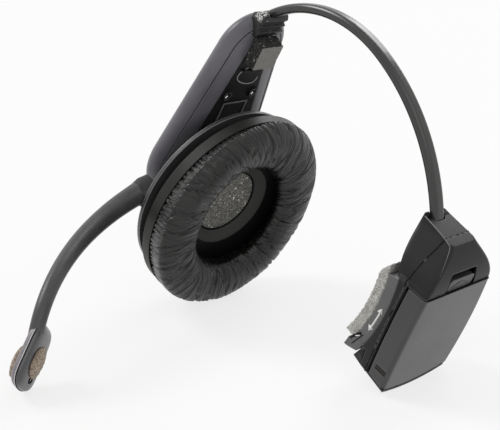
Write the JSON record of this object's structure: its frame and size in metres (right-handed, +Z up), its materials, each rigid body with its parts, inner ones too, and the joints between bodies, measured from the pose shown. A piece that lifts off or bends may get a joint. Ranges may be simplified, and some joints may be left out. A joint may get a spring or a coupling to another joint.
{
  "type": "wireless intercom headset",
  "caption": "Single-ear wireless headset with a control pod, boom microphone, slim headband, temple pad and removable battery.",
  "frame": {"origin": "on the floor, under the middle of the part's bounding box", "axes": "+Z up, along the shortest extent of the part as it lies; +X from the ear pod towards the battery housing; the boom reaches out towards -Y"},
  "size_m": [0.1558, 0.1608, 0.1325],
  "materials": {
    "shell": "satin moulded shell",
    "panel": "matt panel",
    "trim_line": "thin light line",
    "foam_block": "porous black foam",
    "screw": "dark steel",
    "board": "circuit board",
    "button": "soft key",
    "lens": "clear lens",
    "hub": "dark plastic",
    "ring": "satin disc",
    "skirt": "smooth skirt",
    "dish": "grey dish",
    "speaker_foam": "fine foam",
    "driver": "loudspeaker",
    "cushion": "soft synthetic leather",
    "boom": "flexible rubber sleeve",
    "mic_shell": "grey shell",
    "mic_foam": "tan foam",
    "capsule": "microphone capsule",
    "band": "band sleeve",
    "housing": "charcoal shell",
    "battery": "battery case",
    "window": "dark brown inlay",
    "contact": "spring contacts",
    "pad_foam": "beige foam"
  },
  "bodies": {
    "root": {"pod_outer_shell": "shell", "pod_inner_shell": "shell", "pod_inner_panel": "panel", "label_frame": "trim_line", "band_clamp": "shell", "foam_block": "foam_block", "panel_screws": "screw", "circuit_board": "board", "indicator_window": "lens", "swivel_hub": "hub", "ear_cup": "hub", "cushion_skirt": "skirt", "baffle_plate": "panel", "baffle_ring": "dish", "speaker_foam": "speaker_foam", "speaker_driver": "driver", "ear_cushion": "cushion", "headband_tube": "band"},
    "boom": {"boom_ring": "ring", "boom_collar": "hub", "boom_tube": "boom", "mic_front_shell": "mic_shell", "mic_rear_shell": "mic_shell", "mic_front_foam": "mic_foam", "mic_rear_foam": "mic_foam", "mic_capsule": "capsule", "mic_screw": "screw"},
    "battery_housing": {"housing_back_shell": "housing", "housing_front_shell": "housing", "housing_wedge": "housing", "battery_contacts": "contact"},
    "battery": {"battery_pack": "battery", "battery_window": "window"},
    "latch": {"latch_button": "housing"},
    "temple_pad": {"pad_bracket": "housing", "temple_foam": "pad_foam"},
    "power_key": {"power_button": "button"},
    "volume_up_key": {"volume_up_button": "button"},
    "volume_down_key": {"volume_down_button": "button"},
    "talk_key": {"talk_button": "button"}
  },
  "joints": [
    {"name": "boom_swing", "type": "hinge", "parent": "root", "child": "boom", "pos_m": [-0.03949, 0.03639, 0.04294], "axis": [0.9223, 0, -0.3864], "range_deg": [-20, 210]},
    {"name": "size_adjust", "type": "hinge", "parent": "root", "child": "battery_housing", "pos_m": [-0.03407, 0.03639, 0.05471], "axis": [0, 1, 0], "range_deg": [0, 6.6]},
    {"name": "pad_slide", "type": "hinge", "parent": "battery_housing", "child": "temple_pad", "pos_m": [-0.00249, 0.03639, 0.06061], "axis": [0, 1, 0], "range_deg": [0, 12]},
    {"name": "battery_release", "type": "slide", "parent": "battery_housing", "child": "battery", "axis": [0.9223, 0, -0.3864], "range_m": [0, 0.025]},
    {"name": "latch_slide", "type": "slide", "parent": "battery_housing", "child": "latch", "axis": [0.3864, 0, 0.9223], "range_m": [0, 0.0022], "stiffness_N_per_m": 300, "springref_m": -0.001},
    {"name": "power_press", "type": "slide", "parent": "root", "child": "power_key", "axis": [0.8478, 0, -0.5304], "range_m": [0, 0.0006], "stiffness_N_per_m": 600, "springref_m": -0.0004},
    {"name": "volume_up_press", "type": "slide", "parent": "root", "child": "volume_up_key", "axis": [0.8478, 0, -0.5304], "range_m": [0, 0.0006], "stiffness_N_per_m": 600, "springref_m": -0.0004},
    {"name": "volume_down_press", "type": "slide", "parent": "root", "child": "volume_down_key", "axis": [0.8478, 0, -0.5304], "range_m": [0, 0.0006], "stiffness_N_per_m": 600, "springref_m": -0.0004},
    {"name": "talk_press", "type": "slide", "parent": "root", "child": "talk_key", "axis": [0.8478, 0, -0.5304], "range_m": [0, 0.0006], "stiffness_N_per_m": 600, "springref_m": -0.0004}
  ]
}
